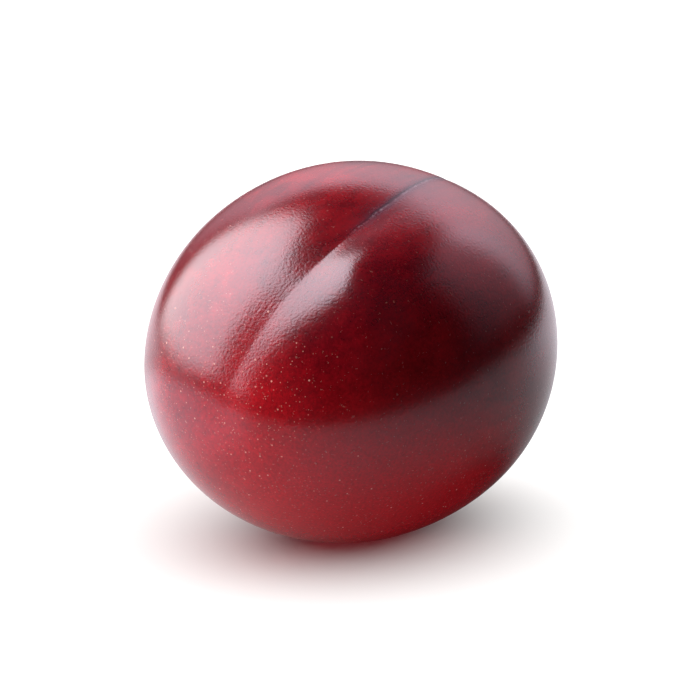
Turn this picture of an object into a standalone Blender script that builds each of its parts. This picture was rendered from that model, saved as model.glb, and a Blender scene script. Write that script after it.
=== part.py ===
"""A whole oval plum, picked without its stalk and lying on its side on a small flat spot.

Run it with: blender --background --python part.py
Units are metres, +Z is up. The origin is the middle of the flat spot, the stalk end points to +Y
and the tip to -Y. The seam, which runs from the stalk hollow to the tip, is on top.

The fruit grew as one piece, so it is one solid. It is a sphere whose points are moved by the
few formulas below: an oval body, the valley that the seam lies in, a stalk hollow and a dimple at
the tip.
"""

from math import acos, atan2, cos, exp, hypot, pi, radians, sin

import bmesh
import bpy
from mathutils import Matrix, Vector

# Driving dimensions
LENGTH = 0.0572  # tip to stalk end, before the two ends are pressed in
WIDTH = 0.0460  # across the two cheeks
DEPTH = 0.0448  # from the seam to the back, before the seam is sunk
FLAT_SPOT_SINK = 0.0006  # how far the underside is pressed flat where the fruit rests

# How the fruit lies
SEAM_ROLL = radians(17.5)  # the seam leans from straight up towards +X
TIP_DIP = radians(1.5)  # the tip hangs a little low, so that the weight is over the flat spot

# Shape of the body
STALK_FULLNESS = 0.030  # the stalk half is rounder than the tip half by this share
HOLLOW_DEPTH = 0.0046  # the stalk hollow
HOLLOW_RADIUS = 0.0058
TIP_DIMPLE_DEPTH = 0.0002
TIP_DIMPLE_RADIUS = 0.0038

# Course of the seam, as angles round the body: it leans one way at the tip and back at the stalk
SEAM_LEAN = radians(6.5)
SEAM_CURL = radians(3.0)

# Depth of the valley that the seam lies in, along the fruit as angles from the tip
SEAM_DEPTH = 0.0002  # the least depth, across the middle of the fruit
VALLEY_DEPTH = 0.00135  # added in the tip half
VALLEY_DEEPEST = radians(66)
VALLEY_REACHES = radians(90), radians(28)  # towards the tip and towards the stalk
NOTCH_DEPTH = 0.0014  # added at the stalk hollow

# Half widths of the valley's walls
GENTLE_WALL = 0.0074  # on the -X side of the seam
STEEP_WALL = 0.0070  # on the +X side, before it is pinched
PINCH = 0.57  # the share that the pinch takes off the steep wall
PINCH_PLACE = radians(57)
PINCH_REACHES = radians(12), radians(26)
NOTCH_WALL = 0.0036  # at the stalk hollow, on both sides
VALLEY_ROUNDNESS = 1.6  # 1 is a sharp V, 2 is a round channel

# Fineness of the mesh: points round the fruit and from end to end
ROUND_STEPS = 64
LENGTH_STEPS = 40
SEAM_CROWDING = 0.45  # the share by which the points are drawn towards the seam


def smooth_step(low, high, value):
    """0 below low, 1 above high and an even ease between them."""
    share = min(1.0, max(0.0, (value - low) / (high - low)))
    return share * share * (3.0 - 2.0 * share)


def bell(value, width):
    """1 at zero, falling off to both sides like a bell."""
    return exp(-((value / width) ** 2))


def hump(value, top, reach_before, reach_after):
    """1 at the top, falling off like a bell with a reach of its own on each side."""
    return bell(value - top, reach_before if value < top else reach_after)


def seam_wander(polar):
    """How far the seam strays round the body, at an angle from the tip (0) to the stalk (pi)."""
    return SEAM_LEAN * cos(polar) - SEAM_CURL * cos(2.0 * polar)


def near_stalk(polar):
    """0 over most of the fruit, rising to 1 on the shoulder of the stalk hollow."""
    return smooth_step(radians(125), radians(160), polar)


def seam_depth(polar):
    """How deep the seam lies below the oval body."""
    valley = VALLEY_DEPTH * hump(polar, VALLEY_DEEPEST, *VALLEY_REACHES)
    return SEAM_DEPTH + valley + NOTCH_DEPTH * near_stalk(polar)


def wall_width(polar, from_seam):
    """Half width of the valley, on the side of the seam that the point is on.

    Round the back, where the valley has no depth left, the two widths run into one another.
    """
    steep = STEEP_WALL * (1.0 - PINCH * hump(polar, PINCH_PLACE, *PINCH_REACHES))
    width = GENTLE_WALL if from_seam < 0.0 else steep
    far_side = smooth_step(pi / 2, pi, abs(from_seam))
    width += ((GENTLE_WALL + steep) / 2 - width) * far_side
    return width + (NOTCH_WALL - width) * near_stalk(polar)


def fruit_point(polar, from_seam):
    """A point of the skin, with the stalk end at +Y and the seam about +Z.

    polar runs from 0 at the tip to pi at the stalk; from_seam is the angle round the body from
    the seam, -pi to pi.
    """
    reach = sin(polar) * (1.0 - STALK_FULLNESS * cos(polar))
    azimuth = from_seam + seam_wander(polar)
    outward = Vector((sin(azimuth), 0.0, cos(azimuth)))
    point = Vector(
        (
            WIDTH / 2 * reach * outward.x,
            -LENGTH / 2 * cos(polar),
            DEPTH / 2 * reach * outward.z,
        )
    )
    radius = hypot(point.x, point.z)

    # The valley sinks into the skin along the skin's own direction, most in its middle line.
    aside = radius * sin(min(abs(from_seam), pi / 2))
    share = exp(-((aside / wall_width(polar, from_seam)) ** VALLEY_ROUNDNESS))
    normal = outward * sin(polar) - Vector((0.0, cos(polar) * DEPTH / LENGTH, 0.0))
    point -= seam_depth(polar) * share * normal.normalized()

    # The two ends are pressed in along the axis.
    if polar > pi / 2:
        point.y -= HOLLOW_DEPTH * bell(radius, HOLLOW_RADIUS)
    else:
        point.y += TIP_DIMPLE_DEPTH * bell(radius, TIP_DIMPLE_RADIUS)
    return point


def shape_fruit(mesh):
    """Moves the points of a unit sphere, whose poles are on Z, to the skin of the fruit."""
    for vert in mesh.verts:
        direction = vert.co.normalized()
        polar = acos(max(-1.0, min(1.0, -direction.z)))
        even_angle = atan2(direction.y, direction.x)
        vert.co = fruit_point(polar, even_angle - SEAM_CROWDING * sin(even_angle))


def lay_down(mesh):
    """Rolls the seam towards +X and lowers the tip, which is how the fruit comes to rest."""
    roll = Matrix.Rotation(SEAM_ROLL, 4, "Y")
    pitch = Matrix.Rotation(TIP_DIP, 4, "X")
    bmesh.ops.transform(mesh, matrix=pitch @ roll, verts=mesh.verts)


def press_flat_spot(mesh):
    """Cuts the underside to a small flat face, and brings the middle of that face to the origin."""
    lowest = min(vert.co.z for vert in mesh.verts)
    everything = mesh.verts[:] + mesh.edges[:] + mesh.faces[:]
    bmesh.ops.bisect_plane(
        mesh,
        geom=everything,
        plane_co=(0.0, 0.0, lowest + FLAT_SPOT_SINK),
        plane_no=(0.0, 0.0, -1.0),
        clear_outer=True,
    )
    rim = [edge for edge in mesh.edges if edge.is_boundary]
    spot = bmesh.ops.contextual_create(mesh, geom=rim)["faces"][0]
    middle = spot.calc_center_median_weighted()
    bmesh.ops.translate(mesh, vec=-middle, verts=mesh.verts)
    bmesh.ops.recalc_face_normals(mesh, faces=mesh.faces)


def skin_material():
    """Taut, waxy, dark red plum skin."""
    material = bpy.data.materials.new("plum_skin")
    material.use_nodes = True
    shader = material.node_tree.nodes["Principled BSDF"]
    shader.inputs["Base Color"].default_value = (0.13, 0.003, 0.008, 1.0)
    shader.inputs["Roughness"].default_value = 0.26
    shader.inputs["Metallic"].default_value = 0.0
    return material


def make_plum(collection):
    mesh = bmesh.new()
    bmesh.ops.create_uvsphere(
        mesh, u_segments=ROUND_STEPS, v_segments=LENGTH_STEPS, radius=1.0
    )
    shape_fruit(mesh)
    lay_down(mesh)
    press_flat_spot(mesh)

    data = bpy.data.meshes.new("plum")
    mesh.to_mesh(data)
    mesh.free()
    data.shade_smooth()
    data.set_sharp_from_angle(angle=radians(40))
    data.materials.append(skin_material())
    plum = bpy.data.objects.new("plum", data)
    collection.objects.link(plum)
    return plum


def main():
    for old in list(bpy.data.objects):
        bpy.data.objects.remove(old)
    collection = bpy.data.collections.new("plum")
    bpy.context.scene.collection.children.link(collection)
    make_plum(collection)


main()
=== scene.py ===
# %% [markdown]
# # A plum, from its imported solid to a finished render
# The CAD solid of this plum is plain and faceted: it holds the size, the weight and the flat spot
# that the fruit rests on. This lesson grows the fine surface on it, colours the skin and lights it
# as in a small studio. Everything is in metres, with +Z up, and the fruit's tip points to -Y.

from math import cos, pi, radians, sin

import bpy
import numpy as np
from mathutils import Matrix, Vector, noise


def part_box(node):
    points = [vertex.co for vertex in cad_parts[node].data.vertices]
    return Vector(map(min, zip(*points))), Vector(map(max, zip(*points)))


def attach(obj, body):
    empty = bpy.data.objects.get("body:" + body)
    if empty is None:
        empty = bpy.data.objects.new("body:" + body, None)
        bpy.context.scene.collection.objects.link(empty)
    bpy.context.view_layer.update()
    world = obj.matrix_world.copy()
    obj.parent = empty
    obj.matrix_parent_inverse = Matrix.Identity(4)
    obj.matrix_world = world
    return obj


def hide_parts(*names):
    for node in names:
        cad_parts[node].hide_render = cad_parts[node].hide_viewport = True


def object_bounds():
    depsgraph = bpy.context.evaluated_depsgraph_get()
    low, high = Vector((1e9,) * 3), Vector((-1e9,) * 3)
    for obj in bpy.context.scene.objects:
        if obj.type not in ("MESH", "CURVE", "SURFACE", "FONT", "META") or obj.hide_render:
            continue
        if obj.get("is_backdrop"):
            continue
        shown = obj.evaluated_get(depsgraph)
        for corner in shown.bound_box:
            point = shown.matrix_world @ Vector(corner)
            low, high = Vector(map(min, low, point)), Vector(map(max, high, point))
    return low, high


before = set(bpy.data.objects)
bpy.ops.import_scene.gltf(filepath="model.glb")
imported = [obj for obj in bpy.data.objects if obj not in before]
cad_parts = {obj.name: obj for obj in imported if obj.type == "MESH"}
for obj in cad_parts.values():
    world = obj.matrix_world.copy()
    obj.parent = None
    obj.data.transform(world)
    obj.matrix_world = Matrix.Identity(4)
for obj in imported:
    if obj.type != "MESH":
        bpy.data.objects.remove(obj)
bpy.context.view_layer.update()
BOX_LOW, BOX_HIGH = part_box("plum")
MM = 0.001
print("CAD box in mm:", [round(side / MM, 2) for side in BOX_HIGH - BOX_LOW])

# %% [markdown]
# ## The body
# A plum is an oval that is a little fuller at the stalk end. Its shape is smooth, so formulas suit
# it better than a cage with subdivision: every point has an angle from the tip, called polar, and
# an angle round the body from the seam. The dimensions are those of the solid, and the finished
# mesh is fitted to the solid's box at the end, so that the two can't drift apart.

# %% Driving dimensions
LENGTH = 57.2 * MM  # tip to stalk end, before the two ends are pressed in
WIDTH = 46.0 * MM
DEPTH = 44.8 * MM  # from the seam to the back, before the seam is sunk
STALK_FULLNESS = 0.030
FLAT_SPOT_SINK = 0.6 * MM
SEAM_ROLL = radians(17.5)
TIP_DIP = radians(1.5)


def smooth_step(low, high, value):
    """0 below low, 1 above high and an even ease between them."""
    share = np.clip((value - low) / (high - low), 0.0, 1.0)
    return share * share * (3.0 - 2.0 * share)


def bell(value, width):
    """1 at zero, falling off to both sides like a bell."""
    return np.exp(-((value / width) ** 2))


def hump(value, top, reach_before, reach_after):
    """1 at the top, falling off like a bell with a reach of its own on each side."""
    return bell(value - top, np.where(value < top, reach_before, reach_after))


print("width over length:", round(WIDTH / LENGTH, 3))

# %% [markdown]
# ## The seam
# The seam is where the two edges of the flower's single seed leaf grew together. It runs from the
# stalk hollow to the tip, and never quite straight, so two slow waves give its course. On this
# fruit it lies in a broad valley, deepest in the tip half. The valley's two walls are unlike: one
# is a wide, gentle slope, and the other is pinched to a short, steep bank about a third of the way
# up. That bank is what catches the light as a bright teardrop. At the stalk the seam is a narrow
# notch in the shoulder of the hollow.

# %% Course, depth and walls of the seam
SEAM_LEAN = radians(6.5)
SEAM_CURL = radians(3.0)
SEAM_DEPTH = 0.2 * MM  # the least depth, across the middle of the fruit
VALLEY_DEPTH = 1.35 * MM  # added in the tip half
VALLEY_DEEPEST = radians(66)  # as an angle from the tip
VALLEY_REACHES = radians(90), radians(28)  # towards the tip and towards the stalk
NOTCH_DEPTH = 1.4 * MM  # added at the stalk hollow
GENTLE_WALL = 7.4 * MM  # half width of the valley on the -X side of the seam
STEEP_WALL = 7.0 * MM  # and on the other side, before it is pinched
PINCH = 0.57  # the share that the pinch takes off
PINCH_PLACE = radians(57)
PINCH_REACHES = radians(12), radians(26)
NOTCH_WALL = 3.6 * MM
VALLEY_ROUNDNESS = 1.6  # 1 is a sharp V, 2 is a round channel


def seam_wander(polar):
    return SEAM_LEAN * np.cos(polar) - SEAM_CURL * np.cos(2.0 * polar)


def near_stalk(polar):
    return smooth_step(radians(125), radians(160), polar)


def seam_depth(polar):
    valley = VALLEY_DEPTH * hump(polar, VALLEY_DEEPEST, *VALLEY_REACHES)
    return SEAM_DEPTH + valley + NOTCH_DEPTH * near_stalk(polar)


def wall_width(polar, from_seam):
    """Half width of the valley on the side of the seam that each point is on."""
    steep = STEEP_WALL * (1.0 - PINCH * hump(polar, PINCH_PLACE, *PINCH_REACHES))
    valley = np.where(from_seam < 0.0, GENTLE_WALL, steep)
    far_side = smooth_step(pi / 2, pi, np.abs(from_seam))
    valley += ((GENTLE_WALL + steep) / 2 - valley) * far_side
    return valley + (NOTCH_WALL - valley) * near_stalk(polar)


print("seam depth at the deepest in mm:", round((SEAM_DEPTH + VALLEY_DEPTH) / MM, 2))

# %% [markdown]
# ## The grid of points
# The finest detail sits beside the seam, so the columns of the grid crowd there: a cubic spacing
# puts them 0.1 mm apart on the seam and 1 mm apart on the far side, where the skin is smooth.
# Rows run from the tip to the stalk. The grid stays below 200,000 triangles.

# %% Grid angles
ROWS = 286
COLUMNS = 336
SEAM_SPACING = 0.2  # spacing of the columns at the seam, as a share of the even spacing

even = np.linspace(-1.0, 1.0, COLUMNS, endpoint=False)
around = pi * (SEAM_SPACING * even + (1.0 - SEAM_SPACING) * even**3)
downward = np.linspace(0.0, pi, ROWS + 2)[1:-1]
polar, from_seam = np.meshgrid(downward, around, indexing="ij")
print("grid:", polar.shape, "closest columns in mm:", round(np.diff(around).min() * WIDTH / 2 / MM, 3))


# %% Base surface and the coordinates along and across the seam
def fruit_surface(polar, from_seam):
    """Points and outward directions of the smooth oval, tip at -Y and seam about +Z."""
    reach = np.sin(polar) * (1.0 - STALK_FULLNESS * np.cos(polar))
    azimuth = from_seam + seam_wander(polar)
    points = np.stack(
        [
            WIDTH / 2 * reach * np.sin(azimuth),
            -LENGTH / 2 * np.cos(polar),
            DEPTH / 2 * reach * np.cos(azimuth),
        ],
        axis=-1,
    )
    normals = np.stack(
        [
            np.sin(azimuth) * np.sin(polar),
            -np.cos(polar) * DEPTH / LENGTH,
            np.cos(azimuth) * np.sin(polar),
        ],
        axis=-1,
    )
    normals /= np.linalg.norm(normals, axis=-1, keepdims=True)
    return points, normals


points, normals = fruit_surface(polar, from_seam)
radius = np.hypot(points[..., 0], points[..., 2])
across = WIDTH / 2 * np.sin(polar) * from_seam
step_lengths = np.hypot(LENGTH / 2 * np.sin(downward), WIDTH / 2 * np.cos(downward))
along = np.broadcast_to((np.cumsum(step_lengths) * pi / (ROWS + 1))[:, None], polar.shape)
print("skin from tip to stalk in mm:", round(along.max() / MM, 1))

# %% [markdown]
# ## Sinking the seam and pressing in the ends
# The valley is sunk along the skin's own direction, so its two walls lean evenly. Then the two ends
# are pressed in along the axis: a deep bowl where the stalk sat, and a faint dimple at the tip.

# %% Valley, hollow and dimple
HOLLOW_DEPTH = 4.6 * MM
HOLLOW_RADIUS = 5.8 * MM
TIP_DIMPLE_DEPTH = 0.2 * MM
TIP_DIMPLE_RADIUS = 3.8 * MM

aside = radius * np.sin(np.minimum(np.abs(from_seam), pi / 2))
valley_share = np.exp(-((aside / wall_width(polar, from_seam)) ** VALLEY_ROUNDNESS))
sunk = seam_depth(polar) * valley_share
points -= sunk[..., None] * normals

hollow = bell(radius, HOLLOW_RADIUS) * (polar > pi / 2)
dimple = bell(radius, TIP_DIMPLE_RADIUS) * (polar < pi / 2)
points[..., 1] += TIP_DIMPLE_DEPTH * dimple - HOLLOW_DEPTH * hollow
print("deepest part of the valley in mm:", round(sunk.max() / MM, 2))

# %% [markdown]
# ## Small relief
# Four things keep the skin from looking cast. Slow swellings bend the highlights a little. Short
# wrinkles lie beside the seam in the tip half, where the skin was gathered as the fruit filled out.
# The seam itself is a hair-fine crease. And in the hollow the stalk has left its scar: a low ring of
# cork round a shallow pit. Smooth noise gives the first two: it is sampled in millimetres along and
# across the seam, so that the wrinkles can be longer than they are wide.


# %% Noise on the grid
def noise_field(x, y, z, seed):
    """Smooth noise from -1 to 1 at every point of the grid."""
    places = np.stack([x, y, z], axis=-1).reshape(-1, 3) + seed
    values = [noise.noise(Vector(place)) for place in places]
    return np.array(values).reshape(x.shape)


print("each noise is sampled at", ROWS * COLUMNS, "points")

# %% Sizes of the swellings, wrinkles and crease
SWELLING_SIZE = 14 * MM
SWELLING_HEIGHT = 0.10 * MM
WRINKLE_LENGTH = 0.9 * MM
WRINKLE_WIDTH = 0.30 * MM
WRINKLE_HEIGHT = 0.008 * MM
WRINKLED_WIDTH = 4.6 * MM  # how far from the seam the wrinkles reach
CREASE_WIDTH = 0.14 * MM  # the hair-fine crease
CREASE_DEPTH = 0.018 * MM
TROUGH_WIDTH = 0.55 * MM  # the soft trough that it lies in
TROUGH_DEPTH = 0.032 * MM
PATCH_SIZE = 2.6 * MM  # of the groups that the wrinkles come in
SWAY_SIZE = 1.6 * MM  # of the waves that bend them
print("wrinkles reach", round(WRINKLED_WIDTH / MM, 1), "mm from the seam")

# %% Swellings, wrinkles and crease
swelling = noise_field(*np.moveaxis(points / SWELLING_SIZE, -1, 0), seed=3.0)
patches = noise_field(*np.moveaxis(points / PATCH_SIZE, -1, 0), seed=11.0)
sway = noise_field(*np.moveaxis(points / SWAY_SIZE, -1, 0), seed=5.0)
ridges = noise_field(
    across / WRINKLE_WIDTH + 1.2 * sway, along / WRINKLE_LENGTH, polar * 0.0, seed=7.0
)
wrinkled_part = hump(polar, radians(40), radians(22), radians(17))
wrinkled = bell(across, WRINKLED_WIDTH) * wrinkled_part * smooth_step(-0.25, 0.35, patches)
upper_half = smooth_step(radians(74), radians(92), polar)
off_axis = smooth_step(1.0 * MM, 4.0 * MM, radius)

seam_line = CREASE_DEPTH * bell(across, CREASE_WIDTH) + TROUGH_DEPTH * bell(across, TROUGH_WIDTH)

relief = (
    SWELLING_HEIGHT * swelling
    + WRINKLE_HEIGHT * ridges * wrinkled * off_axis
    - seam_line * upper_half * off_axis
)
points += relief[..., None] * normals
print("relief in mm:", round(relief.min() / MM, 3), "to", round(relief.max() / MM, 3))

# %% [markdown]
# ### The scar
# The ring and the pit of the scar are round, so two formulas of the distance from the axis make
# them. Finer noise makes the cork between them rough.

# %% Scar of the stalk
SCAR_RADIUS = 1.5 * MM
SCAR_EDGE = SCAR_RADIUS + 0.8 * MM  # where the cork ends
SCAR_CORE = 0.3 * MM  # where it covers everything
RIM_HEIGHT = 0.26 * MM
RIM_WIDTH = 0.35 * MM
PIT_DEPTH = 0.70 * MM
PIT_TOP, PIT_FLOOR = 1.4 * MM, 0.6 * MM  # radii of the pit
CORK_SIZE = 0.45 * MM
CORK_HEIGHT = 0.14 * MM

stalk_side = polar > pi / 2
scar = smooth_step(SCAR_EDGE, SCAR_CORE, radius) * stalk_side
cork = noise_field(*np.moveaxis(points / CORK_SIZE, -1, 0), seed=9.0)
points[..., 1] += RIM_HEIGHT * bell(radius - SCAR_RADIUS, RIM_WIDTH) * stalk_side
points[..., 1] += CORK_HEIGHT * cork * smooth_step(0.0, 0.3, scar)
points[..., 1] -= PIT_DEPTH * smooth_step(PIT_TOP, PIT_FLOOR, radius) * stalk_side
print("points in the scar:", int((scar > 0.5).sum()))

# %% [markdown]
# ## Lying down
# The fruit lies on its side. It is rolled until the seam leans, and the tip is lowered a little.
# The underside is pressed flat by a smooth clamp instead of a cut, because soft flesh leaves no
# edge. The result is then fitted to the CAD box.

# %% Lay the points down and press the flat spot
PRESS_SOFTNESS = 0.12 * MM

lying = Matrix.Rotation(TIP_DIP, 3, "X") @ Matrix.Rotation(SEAM_ROLL, 3, "Y")
points = points @ np.array(lying).T
height = points[..., 2] - points[..., 2].min() - FLAT_SPOT_SINK
points[..., 2] = 0.5 * (height + np.sqrt(height**2 + PRESS_SOFTNESS**2))

low = points.reshape(-1, 3).min(axis=0)
high = points.reshape(-1, 3).max(axis=0)
scale = np.array(BOX_HIGH - BOX_LOW) / (high - low)
points = (points - low) * scale + np.array(BOX_LOW)
print("fitted to the CAD box by", scale.round(4))

# %% [markdown]
# ## The mesh
# The grid closes round the body, and one point closes each end. The coordinates along and across
# the seam are stored on the points, because the skin's pattern needs them: wrinkles, streaks and
# bloom all follow the seam.


# %% Build the mesh
def grid_faces(rows, columns):
    """Quads of a grid that closes round its columns, and a fan to the point at each end."""
    faces = []
    tip, stalk = rows * columns, rows * columns + 1
    for column in range(columns):
        beside = (column + 1) % columns
        for row in range(rows - 1):
            here = row * columns
            below = here + columns
            faces.append((here + column, here + beside, below + beside, below + column))
        last = (rows - 1) * columns
        faces.append((tip, beside, column))
        faces.append((stalk, last + column, last + beside))
    return faces


def with_ends(field):
    """The grid's values as one list, with the mean of each end row for the two end points."""
    flat = field.reshape(ROWS * COLUMNS, -1)
    ends = [field[0].reshape(COLUMNS, -1).mean(axis=0), field[-1].reshape(COLUMNS, -1).mean(axis=0)]
    return np.vstack([flat, ends])


def add_attribute(mesh, name, field):
    attribute = mesh.attributes.new(name, "FLOAT", "POINT")
    attribute.data.foreach_set("value", with_ends(field).ravel().astype(np.float32))


mesh = bpy.data.meshes.new("plum_skin")
mesh.from_pydata(with_ends(points).tolist(), [], grid_faces(ROWS, COLUMNS))
mesh.shade_smooth()
add_attribute(mesh, "along", along)
add_attribute(mesh, "across", across)
add_attribute(mesh, "from_tip", polar / pi)
add_attribute(mesh, "hollow", hollow)
add_attribute(mesh, "scar", scar)

plum_skin = bpy.data.objects.new("plum_skin", mesh)
bpy.context.scene.collection.objects.link(plum_skin)
print("points:", len(mesh.vertices), "faces:", len(mesh.polygons))

# %% [markdown]
# ## Colours and nodes
# Colours are written as sRGB hex, as a colour picker gives them, and one function turns them to the
# linear values that the shader wants. One more function adds a node with its settings and links.


# %% Colour and node helpers
def colour(hex_code):
    """An sRGB hex colour as linear RGBA."""
    parts = [int(hex_code[start : start + 2], 16) / 255 for start in (1, 3, 5)]
    linear = [part / 12.92 if part <= 0.04045 else ((part + 0.055) / 1.055) ** 2.4 for part in parts]
    return (*linear, 1.0)


def add(tree, kind, inputs=None, **settings):
    """Adds a node. settings are its own properties; inputs gives a value or another node's socket."""
    node = tree.nodes.new(kind)
    for name, value in settings.items():
        setattr(node, name, value)
    for key, value in (inputs or {}).items():
        if isinstance(value, bpy.types.NodeSocket):
            tree.links.new(value, node.inputs[key])
        else:
            node.inputs[key].default_value = value
    return node


def new_material(name):
    material = bpy.data.materials.new(name)
    material.use_nodes = True
    tree = material.node_tree
    return material, tree, tree.nodes["Principled BSDF"]


print("white in linear:", colour("#ffffff"))

# %% [markdown]
# ## Plum skin
# The skin is a thin film of red pigment over amber flesh, under a coat of natural wax. Looking into
# it the eye finds, from the inside out: a deep red ground, with painted light and painted shade laid
# into it; fine grain and faint streaks; pale pores, called lenticels; and the bloom, loose wax
# crystals that lie on top like lilac dust. The wax makes the gloss. Each of these is one cell here.

# %% Skin: coordinates
skin, tree, shader = new_material("waxy_plum_skin")
place = add(tree, "ShaderNodeTexCoord").outputs["Object"]
seam_along, seam_across, from_tip, in_hollow, in_scar = [
    add(tree, "ShaderNodeAttribute", attribute_name=name).outputs["Fac"]
    for name in ("along", "across", "from_tip", "hollow", "scar")
]
print("skin nodes so far:", len(tree.nodes))

# %% [markdown]
# ### The red ground, with painted light and shade
# The pigment lies in clouds about 9 mm wide and in faint streaks that run from tip to stalk, as on
# any stone fruit. Light is painted into it too: low on the front right the red is brighter, as a
# painted glow of the light that the table throws up at the underside, and the crown and the tip are
# brighter, as a painted glow of the light that shines through the flesh there. Painted shade darkens
# the flank above the underside, which is turned from the key light, and the steep bank in the seam's
# valley. A patch on the left shoulder is a little darker. Each of these is a soft patch, and the
# patches, clouds and streaks are added up to one share of red.

# %% Skin: colours and places of the patches
CLOUD_SIZE = 9 * MM
STREAK_WIDTH = 1.1 * MM
STREAK_LENGTH = 9 * MM
# Of these middles, the first three are places of painted light and the fourth is one of painted shade.
UNDERSIDE_GLOW_MIDDLE = Vector((16, -19, 0)) * MM
CROWN_GLOW_MIDDLE = Vector((17, 6, 36)) * MM
TIP_GLOW_MIDDLE = Vector((-4, -27, 24)) * MM
FLANK_SHADE_MIDDLE = Vector((17, -14, 33)) * MM
SHOULDER_MIDDLE = Vector((-16, -17, 26)) * MM
# The last of these colours is painted shade, laid on the flank and on the seam's bank; the bright red
# end is reached where painted light lies.
SHADED_RED = "#4f0209"
CHERRY_RED = "#ad1019"
PAINTED_SHADE_PLUM = "#38030c"
PAINTED_SHADE_DEPTH = 0.42  # how dark the painted shade on the flank and the bank is
# The band of the bank, in the seam's valley, is where painted shade lies.
BANK_MIDDLE = 3 * MM  # from the seam, across the skin
BANK_CORE, BANK_EDGE = 1 * MM, 5 * MM  # distances from the bank's middle
BANK_STARTS, BANK_FULL = 0.10, 0.26  # as shares of the way from tip to stalk
print("cherry red in linear:", [round(part, 3) for part in colour(CHERRY_RED)])

# %% Skin: clouds and streaks
clouds = add(
    tree,
    "ShaderNodeTexNoise",
    {"Vector": place, "Scale": 1 / CLOUD_SIZE, "Detail": 3.0, "Roughness": 0.55},
)
drawn_out = add(
    tree,
    "ShaderNodeMapping",
    {"Vector": place, "Scale": (1 / STREAK_WIDTH, 1 / STREAK_LENGTH, 1 / STREAK_WIDTH)},
)
streaks = add(
    tree,
    "ShaderNodeTexNoise",
    {"Vector": drawn_out.outputs["Vector"], "Scale": 1.0, "Detail": 2.0},
)
print("skin nodes so far:", len(tree.nodes))


# %% Skin: soft patches
def soft_patch(middle, inner, outer):
    """1 within inner of the middle, fading to 0 at outer."""
    away = add(tree, "ShaderNodeVectorMath", {0: place, 1: middle}, operation="DISTANCE")
    fade = add(
        tree,
        "ShaderNodeMapRange",
        {"Value": away.outputs["Value"], "From Min": outer, "From Max": inner},
        interpolation_type="SMOOTHSTEP",
    )
    return fade.outputs["Result"]


# Painted light: the first three patches brighten the red, on the underside where the table throws
# light up and on the crown and the tip where light shines through the flesh. Painted shade: the fourth
# darkens the flank that is turned from the key light.
underside_glow = soft_patch(UNDERSIDE_GLOW_MIDDLE, 12 * MM, 34 * MM)
crown_glow = soft_patch(CROWN_GLOW_MIDDLE, 4 * MM, 21 * MM)
# The tip's patch is painted light as well: a glow of light through the flesh round the tip.
tip = soft_patch(TIP_GLOW_MIDDLE, 3 * MM, 15 * MM)
flank_shade = soft_patch(FLANK_SHADE_MIDDLE, 5 * MM, 24 * MM)
shoulder = soft_patch(SHOULDER_MIDDLE, 6 * MM, 20 * MM)
print("skin nodes so far:", len(tree.nodes))

# %% Skin: the share of red
RED_STARTS, RED_FULL = 0.50, 1.45  # sums of the terms below at which the skin is dark and bright


def weighted_sum(start, *terms):
    """start plus each value times its weight."""
    total = start
    for value, weight in terms:
        inputs = {0: value, 1: weight, 2: total}
        total = add(tree, "ShaderNodeMath", inputs, operation="MULTIPLY_ADD").outputs[0]
    return total


# The share of red adds the pigment's clouds and streaks to the painted light of the patches; the
# shoulder's patch takes a little off.
redness_and_painted_light = weighted_sum(
    0.0,
    (streaks.outputs["Fac"], 0.45),
    (clouds.outputs["Fac"], 0.75),
    (underside_glow, 0.95),
    (crown_glow, 0.36),
    (tip, 0.24),
    (shoulder, -0.26),
)
red_share = add(
    tree,
    "ShaderNodeMapRange",
    {"Value": redness_and_painted_light, "From Min": RED_STARTS, "From Max": RED_FULL},
)
ground = add(
    tree,
    "ShaderNodeMix",
    {"Factor": red_share.outputs["Result"], "A": colour(SHADED_RED), "B": colour(CHERRY_RED)},
    data_type="RGBA",
)
print("skin nodes so far:", len(tree.nodes))

# %% Skin: painted shade on the bank and the flank
# Painted shade in the seam's valley: a band along the steep bank, in the tip half.
past_bank = add(tree, "ShaderNodeMath", {0: seam_across, 1: BANK_MIDDLE}, operation="SUBTRACT")
from_bank = add(tree, "ShaderNodeMath", {0: past_bank.outputs[0]}, operation="ABSOLUTE")
bank_shade = add(
    tree,
    "ShaderNodeMapRange",
    {"Value": from_bank.outputs[0], "From Min": BANK_EDGE, "From Max": BANK_CORE},
    interpolation_type="SMOOTHSTEP",
)
above_tip = add(
    tree,
    "ShaderNodeMapRange",
    {"Value": from_tip, "From Min": BANK_STARTS, "From Max": BANK_FULL},
)
bank_shade_share = add(
    tree,
    "ShaderNodeMath",
    {0: bank_shade.outputs["Result"], 1: above_tip.outputs["Result"]},
    operation="MULTIPLY",
)
# The flank and the bank are darkened towards the plum colour of the painted shade.
painted_shade = add(
    tree, "ShaderNodeMath", {0: flank_shade, 1: bank_shade_share.outputs[0]}, operation="MAXIMUM"
)
painted_shade_share = add(
    tree, "ShaderNodeMath", {0: painted_shade.outputs[0], 1: PAINTED_SHADE_DEPTH}, operation="MULTIPLY"
)
shaded = add(
    tree,
    "ShaderNodeMix",
    {"Factor": painted_shade_share.outputs[0], "A": ground.outputs["Result"], "B": colour(PAINTED_SHADE_PLUM)},
    data_type="RGBA",
)
print("skin nodes so far:", len(tree.nodes))

# %% [markdown]
# ### Grain
# Close up, the red is not even: the pigment sits in the skin's cells, in groups about 0.3 mm wide,
# some full and some nearly clear. It reads as a velvety depth.

# %% Skin: grain
GRAIN_SIZE = 0.30 * MM
GRAIN_CONTRAST = 0.28  # how much lighter and darker than the ground the cells are

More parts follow.
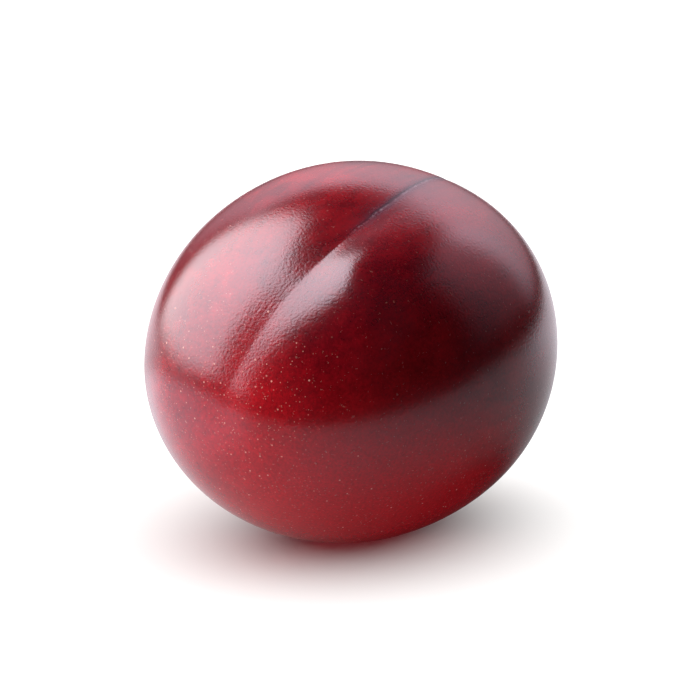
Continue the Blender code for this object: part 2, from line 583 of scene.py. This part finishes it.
grain = add(
    tree,
    "ShaderNodeTexNoise",
    {"Vector": place, "Scale": 1 / GRAIN_SIZE, "Detail": 2.0, "Roughness": 0.6},
)
grain_light = add(
    tree,
    "ShaderNodeMapRange",
    {
        "Value": grain.outputs["Fac"],
        "From Min": 0.3,
        "From Max": 0.7,
        "To Min": 1 - GRAIN_CONTRAST,
        "To Max": 1 + GRAIN_CONTRAST,
    },
)
grained = add(
    tree,
    "ShaderNodeHueSaturation",
    {"Color": shaded.outputs["Result"], "Value": grain_light.outputs["Result"]},
)
print("skin nodes so far:", len(tree.nodes))

# %% [markdown]
# ### Lenticels
# These are the pores that the fruit breathed through, corky dots 0.15 to 0.3 mm wide. Worley
# cells place them: a ball round each cell's point is cut by the skin into discs of many sizes. They
# crowd round the tip and low on the cheek, and are few above.

# %% Skin: where the lenticels crowd
LENTICEL_PEACH = "#e8a896"
LARGE_PORE, LARGE_SPACING = 0.14 * MM, 1.05 * MM
SMALL_PORE, SMALL_SPACING = 0.09 * MM, 0.46 * MM
SMALL_WEIGHT = 0.65  # how pale the small pores are beside the large ones
PORE_PALENESS = 0.52
LOW_ENDS, LOW_FULL = 22 * MM, 10 * MM  # heights between which the low pores thin out
TIP_ENDS, TIP_FULL = 0.25, 0.11  # the same for those of the tip, as shares of the way to the stalk
FEWEST, MOST = 0.08, 1.05  # the chance that a cell has a pore

near_tip = add(
    tree,
    "ShaderNodeMapRange",
    {"Value": from_tip, "From Min": TIP_ENDS, "From Max": TIP_FULL, "To Max": 0.95},
)
height = add(tree, "ShaderNodeSeparateXYZ", {"Vector": place}).outputs["Z"]
low_down = add(
    tree,
    "ShaderNodeMapRange",
    {"Value": height, "From Min": LOW_ENDS, "From Max": LOW_FULL, "To Max": 0.75},
)
crowding = add(
    tree,
    "ShaderNodeMath",
    {0: near_tip.outputs["Result"], 1: low_down.outputs["Result"]},
    operation="MAXIMUM",
)
pore_chance = add(
    tree,
    "ShaderNodeMapRange",
    {"Value": crowding.outputs[0], "To Min": FEWEST, "To Max": MOST},
)
print("skin nodes so far:", len(tree.nodes))


# %% Skin: lenticels of two sizes
def pores(spacing, size):
    """1 in the pores and 0 between them. spacing is the cell size, size the largest pore radius."""
    cells = add(tree, "ShaderNodeTexVoronoi", {"Vector": place, "Scale": 1 / spacing})
    disc = add(
        tree,
        "ShaderNodeMapRange",
        {
            "Value": cells.outputs["Distance"],
            "From Min": size / spacing,
            "From Max": 0.45 * size / spacing,
        },
        interpolation_type="SMOOTHSTEP",
    )
    lot = add(tree, "ShaderNodeSeparateColor", {"Color": cells.outputs["Color"]})
    margin = add(
        tree,
        "ShaderNodeMath",
        {0: pore_chance.outputs["Result"], 1: lot.outputs["Red"]},
        operation="SUBTRACT",
    )
    shows = add(tree, "ShaderNodeMapRange", {"Value": margin.outputs[0], "From Max": 0.5})
    pore = add(
        tree,
        "ShaderNodeMath",
        {0: disc.outputs["Result"], 1: shows.outputs["Result"]},
        operation="MULTIPLY",
    )
    return pore.outputs[0]


large_pores = pores(LARGE_SPACING, LARGE_PORE)
small_pores = pores(SMALL_SPACING, SMALL_PORE)
all_pores = weighted_sum(large_pores, (small_pores, SMALL_WEIGHT))
pore_share = add(tree, "ShaderNodeMapRange", {"Value": all_pores, "To Max": PORE_PALENESS})
dotted = add(
    tree,
    "ShaderNodeMix",
    {
        "Factor": pore_share.outputs["Result"],
        "A": grained.outputs["Color"],
        "B": colour(LENTICEL_PEACH),
    },
    data_type="RGBA",
)
print("large pores are up to", round(2 * LARGE_PORE / MM, 2), "mm wide")

# %% [markdown]
# ### The seam line
# In the upper half the skin along the seam is stained a bluish plum, about 1.4 mm wide. Along its
# middle the stretched wax has torn into a row of whitish flecks, and close beside them runs a thin
# dark line, the shade of the crease. All of it strays a little to both sides, so that it looks grown.

# %% Skin: the course of the seam line
SEAM_STAIN = "#2b0d1f"
CREASE_DARK = "#1c0510"
FLECK_GREY = "#a8929f"
STAIN_EDGE, STAIN_CORE = 1.3 * MM, 0.15 * MM  # distances from the seam line
CREASE_EDGE, CREASE_CORE = 0.22 * MM, 0.06 * MM
FLECK_EDGE, FLECK_CORE = 0.20 * MM, 0.03 * MM
CREASE_ASIDE = 0.24 * MM  # from the flecks towards the -X side
TORN_LENGTH = 0.45 * MM
STRAY = 0.16 * MM
STRAY_LENGTH = 2.2 * MM
STAIN_SHARE, CREASE_SHARE, FLECK_SHARE = 0.62, 0.7, 0.55  # how much each covers where it is full
TORN_LOW, TORN_HIGH = 0.46, 0.66  # values of the noise between which a fleck fades in
LINE_STARTS, LINE_FULL = 0.35, 0.43  # as shares of the way from tip to stalk

stray_noise = add(
    tree,
    "ShaderNodeTexNoise",
    {"W": seam_along, "Scale": 1 / STRAY_LENGTH, "Detail": 2.0},
    noise_dimensions="1D",
)
stray = add(
    tree,
    "ShaderNodeMapRange",
    {"Value": stray_noise.outputs["Fac"], "To Min": -STRAY, "To Max": STRAY},
)
strayed = add(
    tree,
    "ShaderNodeMath",
    {0: seam_across, 1: stray.outputs["Result"]},
    operation="ADD",
)
off_seam = add(tree, "ShaderNodeMath", {0: strayed.outputs[0]}, operation="ABSOLUTE").outputs[0]
upper_seam = add(
    tree,
    "ShaderNodeMapRange",
    {"Value": from_tip, "From Min": LINE_STARTS, "From Max": LINE_FULL},
).outputs["Result"]
print("skin nodes so far:", len(tree.nodes))

# %% Skin: stain and dark crease
band = add(
    tree,
    "ShaderNodeMapRange",
    {
        "Value": off_seam,
        "From Min": STAIN_EDGE,
        "From Max": STAIN_CORE,
        "To Max": STAIN_SHARE,
    },
    interpolation_type="SMOOTHSTEP",
)
stain_share = add(
    tree,
    "ShaderNodeMath",
    {0: band.outputs["Result"], 1: upper_seam},
    operation="MULTIPLY",
)
stained = add(
    tree,
    "ShaderNodeMix",
    {
        "Factor": stain_share.outputs[0],
        "A": dotted.outputs["Result"],
        "B": colour(SEAM_STAIN),
    },
    data_type="RGBA",
)
from_crease = add(
    tree, "ShaderNodeMath", {0: strayed.outputs[0], 1: CREASE_ASIDE}, operation="ADD"
)
off_crease = add(tree, "ShaderNodeMath", {0: from_crease.outputs[0]}, operation="ABSOLUTE")
crease_line = add(
    tree,
    "ShaderNodeMapRange",
    {
        "Value": off_crease.outputs[0],
        "From Min": CREASE_EDGE,
        "From Max": CREASE_CORE,
        "To Max": CREASE_SHARE,
    },
    interpolation_type="SMOOTHSTEP",
)
crease_share = add(
    tree, "ShaderNodeMath", {0: crease_line.outputs["Result"], 1: upper_seam}, operation="MULTIPLY"
)
creased = add(
    tree,
    "ShaderNodeMix",
    {"Factor": crease_share.outputs[0], "A": stained.outputs["Result"], "B": colour(CREASE_DARK)},
    data_type="RGBA",
)
print("skin nodes so far:", len(tree.nodes))

# %% Skin: whitish flecks
torn = add(
    tree,
    "ShaderNodeTexNoise",
    {"Vector": place, "Scale": 1 / TORN_LENGTH, "Detail": 4.0, "Roughness": 0.7},
)
fleck_length = add(
    tree,
    "ShaderNodeMapRange",
    {"Value": torn.outputs["Fac"], "From Min": TORN_LOW, "From Max": TORN_HIGH},
)
fleck_width = add(
    tree,
    "ShaderNodeMapRange",
    {
        "Value": off_seam,
        "From Min": FLECK_EDGE,
        "From Max": FLECK_CORE,
        "To Max": FLECK_SHARE,
    },
)
fleck = add(
    tree,
    "ShaderNodeMath",
    {0: fleck_length.outputs["Result"], 1: fleck_width.outputs["Result"]},
    operation="MULTIPLY",
)
fleck_share = add(
    tree, "ShaderNodeMath", {0: fleck.outputs[0], 1: upper_seam}, operation="MULTIPLY"
)
flecked = add(
    tree,
    "ShaderNodeMix",
    {
        "Factor": fleck_share.outputs[0],
        "A": creased.outputs["Result"],
        "B": colour(FLECK_GREY),
    },
    data_type="RGBA",
)
print("skin nodes so far:", len(tree.nodes))

# %% [markdown]
# ### Bloom
# Loose wax crystals scatter a little lilac light over the red. Handling has rubbed most of it off:
# it is left as a thin veil in patches, thickest beside the upper seam and in the hollow, where
# fingers don't reach.

# %% Skin: bloom
BLOOM_LILAC = "#97879b"
BLOOM_PATCH = 7 * MM
VEIL = 0.008  # share of bloom where it is thickest, on the open skin
SEAM_VEIL = 0.018  # and beside the upper seam
HOLLOW_VEIL = 0.16
SEAM_VEIL_EDGE, SEAM_VEIL_CORE = 3.4 * MM, 0.4 * MM  # distances from the seam line

bloom_noise = add(
    tree,
    "ShaderNodeTexNoise",
    {"Vector": place, "Scale": 1 / BLOOM_PATCH, "Detail": 6.0, "Roughness": 0.62},
)
veil = add(
    tree,
    "ShaderNodeMapRange",
    {
        "Value": bloom_noise.outputs["Fac"],
        "From Min": 0.42,
        "From Max": 0.72,
        "To Max": VEIL,
    },
)
seam_veil = add(
    tree,
    "ShaderNodeMapRange",
    {
        "Value": off_seam,
        "From Min": SEAM_VEIL_EDGE,
        "From Max": SEAM_VEIL_CORE,
        "To Max": SEAM_VEIL,
    },
    interpolation_type="SMOOTHSTEP",
)
kept = weighted_sum(
    veil.outputs["Result"], (seam_veil.outputs["Result"], upper_seam), (in_hollow, HOLLOW_VEIL)
)
bloom_grain = add(
    tree,
    "ShaderNodeMapRange",
    {
        "Value": grain.outputs["Fac"],
        "From Min": 0.35,
        "From Max": 0.65,
        "To Min": 1.5,
        "To Max": 0.5,
    },
)
bloom = add(
    tree,
    "ShaderNodeMath",
    {0: kept, 1: bloom_grain.outputs["Result"]},
    operation="MULTIPLY",
)
bloomed = add(
    tree,
    "ShaderNodeMix",
    {"Factor": bloom.outputs[0], "A": flecked.outputs["Result"], "B": colour(BLOOM_LILAC)},
    data_type="RGBA",
)
print("skin nodes so far:", len(tree.nodes))

# %% [markdown]
# ### Scar of the stalk
# Where the stalk broke away the fruit has healed with dry, corky tissue: a ragged ring of dull
# brown round a darker pit, where the veins of the stalk went in.

# %% Skin: cork in the scar
CORK_BROWN = "#7a5238"
CORK_DARK = "#3a2118"
PIT_BROWN = "#1d100c"
PIT_STARTS, PIT_FULL = 0.62, 0.92  # values of the scar at which the brown of the pit sets in
CORK_STARTS, CORK_FULL = 0.58, 0.72  # values of the ragged edge at which the cork sets in

cork_noise = add(
    tree,
    "ShaderNodeTexNoise",
    {"Vector": place, "Scale": 1 / CORK_SIZE, "Detail": 4.0, "Roughness": 0.65},
)
cork_colour = add(
    tree,
    "ShaderNodeMix",
    {"Factor": cork_noise.outputs["Fac"], "A": colour(CORK_DARK), "B": colour(CORK_BROWN)},
    data_type="RGBA",
)
pit_share = add(
    tree,
    "ShaderNodeMapRange",
    {"Value": in_scar, "From Min": PIT_STARTS, "From Max": PIT_FULL, "To Max": 0.8},
)
pitted = add(
    tree,
    "ShaderNodeMix",
    {
        "Factor": pit_share.outputs["Result"],
        "A": cork_colour.outputs["Result"],
        "B": colour(PIT_BROWN),
    },
    data_type="RGBA",
)
ragged = weighted_sum(in_scar, (cork_noise.outputs["Fac"], 0.9))
cork_share = add(
    tree,
    "ShaderNodeMapRange",
    {"Value": ragged, "From Min": CORK_STARTS, "From Max": CORK_FULL},
).outputs["Result"]
skin_colour = add(
    tree,
    "ShaderNodeMix",
    {
        "Factor": cork_share,
        "A": bloomed.outputs["Result"],
        "B": pitted.outputs["Result"],
    },
    data_type="RGBA",
)
print("skin nodes so far:", len(tree.nodes))

# %% [markdown]
# ### Wax
# The wax gives a satin gloss, with a roughness of about 0.2. Plant wax has an IOR of about 1.45, but
# it took 1.70 to match the strength of this fruit's highlights under the lights used here. The
# surface isn't quite smooth: it follows the skin's cells in a fine orange peel, which breaks up the
# edges of the highlights. Where bloom, stain, pores or cork lie, the gloss is duller.

# %% Skin: gloss and fine relief
WAX_ROUGHNESS = 0.19
WAX_IOR = 1.70
WAX_TINT = "#fdf0ff"  # the highlights are a little lilac
PEEL_SIZE = 0.30 * MM
PEEL_HEIGHT = 0.020 * MM

roughness = weighted_sum(
    WAX_ROUGHNESS,
    (bloom.outputs[0], 0.9),
    (stain_share.outputs[0], 0.12),
    (pore_share.outputs["Result"], 0.2),
    (cork_share, 0.6),
)
peel = add(
    tree,
    "ShaderNodeTexNoise",
    {"Vector": place, "Scale": 1 / PEEL_SIZE, "Detail": 2.0, "Roughness": 0.5},
)
peel_height = weighted_sum(peel.outputs["Fac"], (pore_share.outputs["Result"], 0.4))
relief_bump = add(
    tree,
    "ShaderNodeBump",
    {"Height": peel_height, "Distance": PEEL_HEIGHT, "Strength": 1.0},
)
print("peel height in mm:", round(PEEL_HEIGHT / MM, 3))

# %% [markdown]
# ### The shader
# One Principled BSDF takes it all. What changes over the skin is linked to it, and what is the same
# everywhere, the IOR and the tint of the gloss, is set on its own sockets.

# %% Skin: the shader
tree.links.new(skin_colour.outputs["Result"], shader.inputs["Base Color"])
tree.links.new(roughness, shader.inputs["Roughness"])
tree.links.new(relief_bump.outputs["Normal"], shader.inputs["Normal"])
shader.inputs["IOR"].default_value = WAX_IOR
shader.inputs["Specular Tint"].default_value = colour(WAX_TINT)
mesh.materials.append(skin)
print("skin nodes:", len(tree.nodes))

# %% [markdown]
# ## The studio
# A pale floor, one large soft light at the left and white panels behind. The front right is left
# dark: the deep middle band of the fruit is its reflection. The camera is a long lens from a little
# above, as for a fruit on a table.

# %% Camera
CAMERA_AZIMUTH = radians(32)
CAMERA_ELEVATION = radians(14)
CAMERA_DISTANCE = 290 * MM
CAMERA_LENS = 125

centre = (BOX_LOW + BOX_HIGH) / 2


def direction(azimuth, elevation):
    """Unit vector from the fruit: azimuth 0 is towards -Y and 90 degrees towards +X."""
    return Vector((sin(azimuth) * cos(elevation), -cos(azimuth) * cos(elevation), sin(elevation)))


def aim(thing, target):
    """Turns a camera or a light so that it looks at the target."""
    thing.rotation_euler = (target - thing.location).to_track_quat("-Z", "Y").to_euler()


camera = bpy.data.objects.new("camera", bpy.data.cameras.new("camera"))
camera.data.lens = CAMERA_LENS
camera.location = centre + CAMERA_DISTANCE * direction(CAMERA_AZIMUTH, CAMERA_ELEVATION)
aim(camera, centre)
bpy.context.scene.collection.objects.link(camera)
bpy.context.scene.camera = camera
print("camera at", [round(part, 3) for part in camera.location])

# %% [markdown]
# ## Lights
# A glossy fruit shows its lights as reflections, so each light here is made for what it draws on
# the skin. A tall softbox leans over the fruit from the left: it draws the wide pale highlight and,
# on the steep bank of the seam, the teardrop. Low white panels behind draw the pale rim. The front
# right stays dark, for the deep red band. Light linking keeps these lights off the floor.


# %% Brightness of a panel
SOFT_BORDER = 0.12  # the share of a panel, at each side, over which its light fades out


def shade_panel(data, lamp, edge):
    """Makes an area light brightest at its lamp, dimmer away from it, and soft at its border."""
    data.use_nodes = True
    tree = data.node_tree
    place = add(tree, "ShaderNodeNewGeometry").outputs["Parametric"]
    from_lamp = add(
        tree,
        "ShaderNodeVectorMath",
        {0: place, 1: (*lamp, 0.0)},
        operation="DISTANCE",
    )
    falloff = add(
        tree,
        "ShaderNodeMapRange",
        {"Value": from_lamp.outputs["Value"], "To Min": 1.0, "To Max": edge},
        interpolation_type="SMOOTHSTEP",
    )
    off_middle = add(
        tree, "ShaderNodeVectorMath", {0: place, 1: (0.5, 0.5, 0.0)}, operation="SUBTRACT"
    )
    to_sides = add(
        tree, "ShaderNodeVectorMath", {0: off_middle.outputs["Vector"]}, operation="ABSOLUTE"
    )
    sides = add(tree, "ShaderNodeSeparateXYZ", {"Vector": to_sides.outputs["Vector"]})
    outermost = add(
        tree, "ShaderNodeMath", {0: sides.outputs["X"], 1: sides.outputs["Y"]}, operation="MAXIMUM"
    )
    border = add(
        tree,
        "ShaderNodeMapRange",
        {"Value": outermost.outputs[0], "From Min": 0.5, "From Max": 0.5 - SOFT_BORDER},
        interpolation_type="SMOOTHSTEP",
    )
    strength = add(
        tree,
        "ShaderNodeMath",
        {0: falloff.outputs["Result"], 1: border.outputs["Result"]},
        operation="MULTIPLY",
    )
    tree.links.new(strength.outputs[0], tree.nodes["Emission"].inputs["Strength"])


print("each panel fades over", SOFT_BORDER, "of its width")


# %% An area light that faces the fruit
def soft_light(
    name, azimuth, lean, distance, size, lower_edge, radiance, lamp, edge, lit, tint="#ffffff"
):
    """A rectangular light that faces the fruit, leaning over it, and lights only the things in lit.

    lower_edge is its height above the middle of the fruit. radiance is how bright the panel looks
    where its lamp is, with 1 for white paper; lamp is that place as a share of the width and of
    the height, edge the share of brightness that is left far from it, and tint the light's colour.
    """
    data = bpy.data.lights.new(name, "AREA")
    data.shape = "RECTANGLE"
    data.size, data.size_y = size
    data.energy = radiance * pi * size[0] * size[1]
    data.color = colour(tint)[:3]
    light = bpy.data.objects.new(name, data)
    light.location = centre + distance * direction(azimuth, lean)
    aim(light, centre)
    if lean < pi / 2:
        rise = size[1] / 2 - (distance * sin(lean) - lower_edge) / cos(lean)
        light.location += rise * direction(azimuth, lean + pi / 2)
    light.visible_camera = False
    bpy.context.scene.collection.objects.link(light)

    shade_panel(data, lamp, edge)
    receivers = bpy.data.collections.new("lit_by_" + name)
    for thing in lit:
        receivers.objects.link(thing)
    light.light_linking.receiver_collection = receivers
    print(name, "is", size, "m, and lights", [thing.name for thing in lit])
    return light


# %% [markdown]
# ## Table and backdrop
# The floor that the camera sees is plain white paper with its own even light from above, because a
# studio lights its background apart from the subject. What the fruit itself sees of the table
# is drawn by an unseen sheet: bright at the left and behind, where the softbox and the panel spill
# over it, and ending close in front, where the room is dark. The sheet throws more light up at the
# skin than it shows in the gloss. A real table can't, but here the two are set apart, so that the
# underside glows as it should and the reflection stays quiet.


# %% Floor
def flat_disc(name, middle, disc_radius, corners=96):
    """A flat round sheet, which belongs to the stage and not to the fruit."""
    disc_mesh = bpy.data.meshes.new(name)
    turns = [2 * pi * corner / corners for corner in range(corners)]
    rim = [(disc_radius * cos(turn), disc_radius * sin(turn), 0.0) for turn in turns]
    disc_mesh.from_pydata(rim, [], [tuple(range(corners))])
    disc = bpy.data.objects.new(name, disc_mesh)
    disc.location = middle
    bpy.context.scene.collection.objects.link(disc)
    disc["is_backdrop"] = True
    return disc


FLOOR_RADIUS = 1.6
floor = flat_disc("floor", (0.0, 0.0, 0.0), FLOOR_RADIUS)
floor.visible_diffuse = False
floor.visible_glossy = False
floor.visible_shadow = False
paper, _, paper_shader = new_material("matt_white_paper")
paper_shader.inputs["Base Color"].default_value = colour("#f2f1f0")
paper_shader.inputs["Roughness"].default_value = 0.9
paper_shader.inputs["Specular IOR Level"].default_value = 0.0
floor.data.materials.append(paper)
print("floor is", round(2 * FLOOR_RADIUS, 1), "m across")

# %% Sheet
SHEET_REACH = 0.075  # from the fruit's middle to the sheet's edge, towards the front right
SHEET_RADIUS = 0.60
UNDER_FLOOR = 0.5 * MM
THROWN_UP = 0.50  # light that only the skin's own colour gets
sheet_middle = (SHEET_RADIUS - SHEET_REACH) * direction(radians(-140), 0.0)
sheet = flat_disc("table_sheet", sheet_middle - Vector((0.0, 0.0, UNDER_FLOOR)), SHEET_RADIUS)
sheet.visible_camera = False
grey, grey_tree, grey_shader = new_material("grey_table_sheet")
sheet_place = add(grey_tree, "ShaderNodeNewGeometry").outputs["Position"]


def spill(azimuth, distance, inner, outer, strength):
    """Light round a place at this distance from the fruit: full within inner, gone at outer."""
    middle = distance * direction(azimuth, 0.0)
    away = add(grey_tree, "ShaderNodeVectorMath", {0: sheet_place, 1: middle}, operation="DISTANCE")
    fade = add(
        grey_tree,
        "ShaderNodeMapRange",
        {
            "Value": away.outputs["Value"],
            "From Min": outer,
            "From Max": inner,
            "To Max": strength,
        },
        interpolation_type="SMOOTHSTEP",
    )
    return fade.outputs["Result"]


print("sheet ends", round(SHEET_REACH / MM), "mm in front of the fruit's middle")

# %% Light on the sheet
left_spill = spill(radians(-63), 95 * MM, inner=40 * MM, outer=88 * MM, strength=1.3)
back_spill = spill(radians(-148), 420 * MM, inner=300 * MM, outer=430 * MM, strength=0.85)
both_spills = add(grey_tree, "ShaderNodeMath", {0: left_spill, 1: back_spill}, operation="ADD")
diffuse_ray = add(grey_tree, "ShaderNodeLightPath").outputs["Is Diffuse Ray"]
thrown_up = add(
    grey_tree,
    "ShaderNodeMapRange",
    {"Value": diffuse_ray, "To Max": THROWN_UP},
)
table_light = add(
    grey_tree,
    "ShaderNodeMath",
    {0: both_spills.outputs[0], 1: thrown_up.outputs["Result"]},
    operation="ADD",
)
grey_shader.inputs["Base Color"].default_value = colour("#7e7e7e")
grey_shader.inputs["Specular IOR Level"].default_value = 0.0
grey_shader.inputs["Emission Color"].default_value = colour("#f8eefa")
grey_tree.links.new(table_light.outputs[0], grey_shader.inputs["Emission Strength"])
sheet.data.materials.append(grey)
print("sheet nodes:", len(grey_tree.nodes))

# %% [markdown]
# ## Placing the lights
# The key light is two lamps at one place. The softbox is mirrored in the skin, and the fill isn't:
# it only brightens the red. With one lamp for both, more of the fruit's top would burn out where it
# is seen against the light. The panels behind are tinted a little lilac, and the overhead softbox
# lights only the floor.

# %% Key light
KEY_PLACE = {
    "azimuth": radians(-66),
    "lean": radians(18),
    "distance": 0.6,
    "size": (1.20, 1.85),
    "lower_edge": -0.09,
    "lamp": (0.55, 0.57),
    "edge": 0.28,
    "lit": [plum_skin, sheet],
}
soft_light("key_softbox", radiance=6.6, **KEY_PLACE)
key_fill = soft_light("key_fill", radiance=5.5, **KEY_PLACE)
key_fill.visible_glossy = False
print("key light at", [round(part, 2) for part in key_fill.location])

# %% Panels behind and light for the floor
PANEL_TINT = "#f8effc"

soft_light(
    "back_panel",
    azimuth=radians(200),
    lean=0.0,
    distance=0.8,
    size=(1.5, 0.92),
    lower_edge=0.0,
    radiance=1.85,
    lamp=(0.42, 0.8),
    edge=0.1,
    lit=[plum_skin],
    tint=PANEL_TINT,
)
soft_light(
    "side_panel",
    azimuth=radians(146),
    lean=0.0,
    distance=0.8,
    size=(0.9, 0.92),
    lower_edge=0.04,
    radiance=0.62,
    lamp=(0.7, 0.8),
    edge=0.1,
    lit=[plum_skin],
    tint=PANEL_TINT,
)
soft_light(
    "overhead_softbox",
    azimuth=0.0,
    lean=radians(90),
    distance=1.2,
    size=(6.0, 6.0),
    lower_edge=1.2,
    radiance=2.0,
    lamp=(0.5, 0.5),
    edge=1.0,
    lit=[floor],
)

# %% [markdown]
# ## The room
# The room gives almost no light. Where the camera looks past the floor it sees the paper curve up
# out of the light, from white to a pale grey, so that a white highlight still shows against it.

# %% World
PAPER_GREY = 0.78  # brightness of the paper where it has curved up
CURVE_LOW, CURVE_HIGH = -0.02, 0.03  # where it curves, as the Z of the line of sight
ROOM_GLOW = 0.003

world = bpy.data.worlds.new("studio")
bpy.context.scene.world = world
world.use_nodes = True
world_tree = world.node_tree
background = world_tree.nodes["Background"]
background.inputs["Color"].default_value = colour("#ffffff")
outlook = add(world_tree, "ShaderNodeTexCoord").outputs["Generated"]
upward = add(world_tree, "ShaderNodeSeparateXYZ", {"Vector": outlook}).outputs["Z"]
paper_curve = add(
    world_tree,
    "ShaderNodeMapRange",
    {
        "Value": upward,
        "From Min": CURVE_LOW,
        "From Max": CURVE_HIGH,
        "To Min": 1.0,
        "To Max": PAPER_GREY,
    },
    interpolation_type="SMOOTHSTEP",
)
seen = add(world_tree, "ShaderNodeLightPath").outputs["Is Camera Ray"]
world_strength = add(
    world_tree,
    "ShaderNodeMapRange",
    {"Value": seen, "To Min": ROOM_GLOW, "To Max": paper_curve.outputs["Result"]},
)
world_tree.links.new(world_strength.outputs["Result"], background.inputs["Strength"])
bpy.context.scene.view_settings.view_transform = "Standard"
print("world nodes:", len(world_tree.nodes))

# %% [markdown]
# ## Handing over
# The skin rides on the part's only body and stands for the CAD solid. The two boxes are written
# down, so that the finished surface can be compared with the solid.

# %% Ride, replace and finish
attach(plum_skin, "root")
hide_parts("plum")

visual_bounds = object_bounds()
visual_size = Vector(visual_bounds[1]) - Vector(visual_bounds[0])
print("visual box in mm:", [round(side / MM, 2) for side in visual_size])
